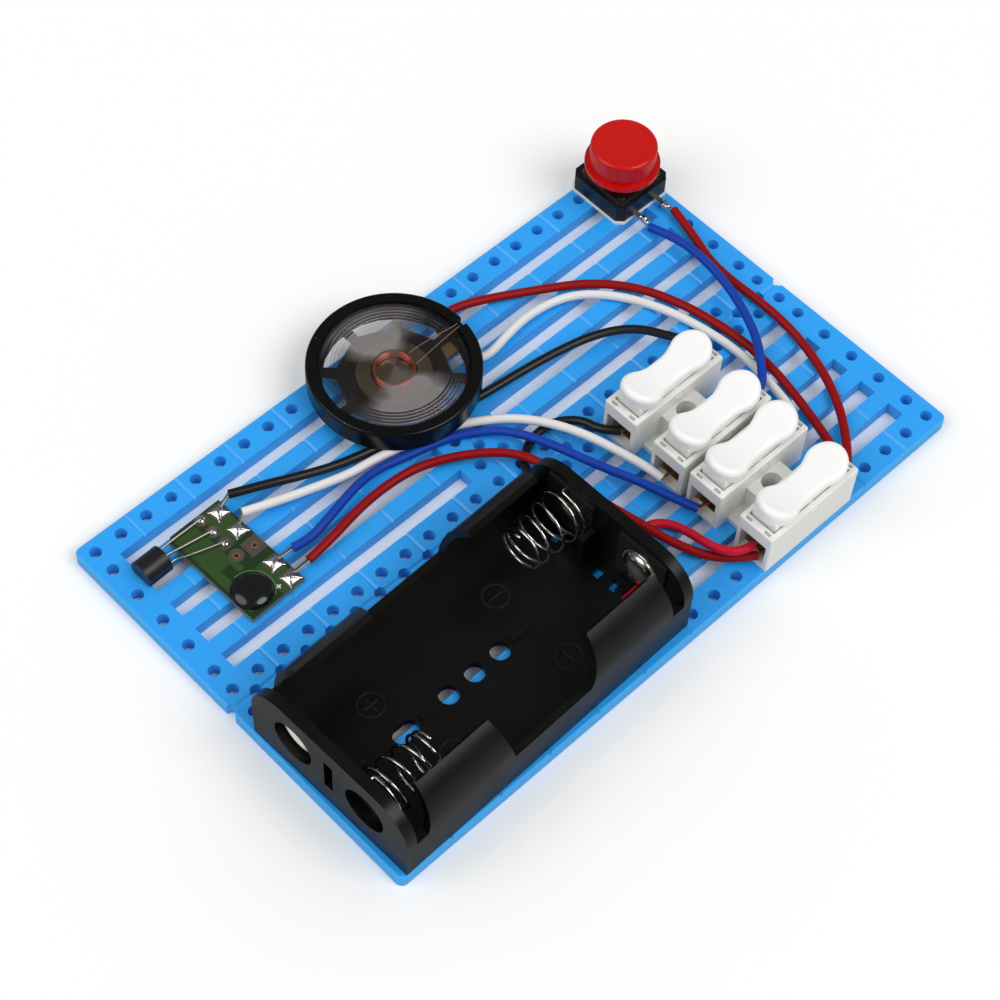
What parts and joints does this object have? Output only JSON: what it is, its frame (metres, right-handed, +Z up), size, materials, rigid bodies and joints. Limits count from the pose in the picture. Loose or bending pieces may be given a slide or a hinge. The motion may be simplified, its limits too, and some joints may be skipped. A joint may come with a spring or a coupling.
{
  "type": "electric bell demonstrator",
  "caption": "Pierced mounting plate with a battery box, small speaker, sound board, push switch and spring wire connectors joined by loose hook-up wires.",
  "frame": {"origin": "middle of the plate's underside, centre of the four corner peg holes", "axes": "+Z up out of the plate, +X along its long side towards the push switch, +Y towards the speaker's edge"},
  "size_m": [0.1208, 0.0795, 0.0188],
  "materials": {
    "blue_plastic": "satin moulded plastic",
    "black_box": "glossy moulded plastic",
    "black_rim": "glossy moulded plastic",
    "clear_film": "clear film",
    "steel": "bare steel",
    "magnet": "nickel plated",
    "copper": "enamelled copper",
    "tag_board": "laminate",
    "green_board": "lacquered laminate",
    "epoxy": "poured resin",
    "solder": "bright solder",
    "black_body": "moulded resin",
    "tinned": "tinned",
    "nickel": "nickel plated",
    "foam_pad": "foam tape",
    "black_base": "moulded plastic",
    "switch_steel": "pressed sheet",
    "black_stem": "moulded plastic",
    "red_cap": "glossy moulded plastic",
    "white_case": "satin moulded plastic",
    "white_rocker": "satin moulded plastic",
    "spring_strip": "spring strip",
    "contact_strip": "contact strip",
    "cover_black": "cable cover",
    "cover_white": "cable cover",
    "cover_blue": "cable cover",
    "cover_red": "cable cover",
    "cover_pink": "cable cover",
    "strand": "tinned copper strands"
  },
  "bodies": {
    "base": {"base_plate": "blue_plastic", "battery_box": "black_box", "negative_contact": "nickel", "positive_contact": "nickel", "bridge_contact": "nickel", "battery_spring_far": "nickel", "battery_spring_near": "nickel", "speaker_frame": "black_rim", "speaker_diaphragm": "clear_film", "speaker_yoke": "steel", "speaker_magnet": "magnet", "pole_plate": "steel", "speaker_terminal_board": "tag_board", "speaker_solder": "solder", "coil_leads": "copper", "circuit_board": "green_board", "epoxy_blob": "epoxy", "board_solder": "solder", "transistor_body": "black_body", "transistor_leads": "tinned", "switch_pad": "foam_pad", "switch_base": "black_base", "switch_cover": "switch_steel", "switch_dome": "switch_steel", "switch_pins": "tinned", "switch_solder": "solder", "connector_housing_back": "white_case", "connector_housing_front": "white_case", "clamp_spring_1": "spring_strip", "contact_bar_1": "contact_strip", "clamp_spring_2": "spring_strip", "contact_bar_2": "contact_strip", "clamp_spring_3": "spring_strip", "contact_bar_3": "contact_strip", "clamp_spring_4": "spring_strip", "contact_bar_4": "contact_strip", "wire_black_board": "cover_black", "wire_white_board": "cover_white", "wire_blue_board": "cover_blue", "wire_red_board": "cover_red", "wire_red_speaker": "cover_red", "wire_white_speaker": "cover_white", "wire_black_battery": "cover_black", "wire_red_battery": "cover_pink", "wire_blue_switch": "cover_blue", "wire_red_switch": "cover_red", "board_strands": "strand", "speaker_strands": "strand", "battery_strands": "strand", "switch_strands": "strand", "connector_strands": "strand"},
    "button": {"switch_plunger": "black_stem", "switch_cap": "red_cap"},
    "coil": {"voice_coil": "copper"},
    "rocker_body_1": {"rocker_1": "white_rocker"},
    "rocker_body_2": {"rocker_2": "white_rocker"},
    "rocker_body_3": {"rocker_3": "white_rocker"},
    "rocker_body_4": {"rocker_4": "white_rocker"}
  },
  "joints": [
    {"name": "rocker_tilt_1", "type": "hinge", "parent": "base", "child": "rocker_body_1", "pos_m": [0.0264, -0.00495, 0.0102], "axis": [0, 1, 0], "range_deg": [-5, 5], "stiffness_Nm_per_rad": 0.05},
    {"name": "rocker_tilt_2", "type": "hinge", "parent": "base", "child": "rocker_body_2", "pos_m": [0.0264, -0.01555, 0.0102], "axis": [0, 1, 0], "range_deg": [-5, 5], "stiffness_Nm_per_rad": 0.05},
    {"name": "rocker_tilt_3", "type": "hinge", "parent": "base", "child": "rocker_body_3", "pos_m": [0.0264, -0.02345, 0.0102], "axis": [0, 1, 0], "range_deg": [-5, 5], "stiffness_Nm_per_rad": 0.05},
    {"name": "rocker_tilt_4", "type": "hinge", "parent": "base", "child": "rocker_body_4", "pos_m": [0.0264, -0.03405, 0.0102], "axis": [0, 1, 0], "range_deg": [-5, 5], "stiffness_Nm_per_rad": 0.05},
    {"name": "switch_press", "type": "slide", "parent": "base", "child": "button", "axis": [0, 0, -1], "range_m": [0, 0.0003], "stiffness_N_per_m": 6500, "deforming": ["switch_dome"]},
    {"name": "voice_coil_slide", "type": "slide", "parent": "base", "child": "coil", "axis": [0, 0, 1], "range_m": [-0.0003, 0.0003], "stiffness_N_per_m": 800, "deforming": ["speaker_diaphragm"]}
  ]
}
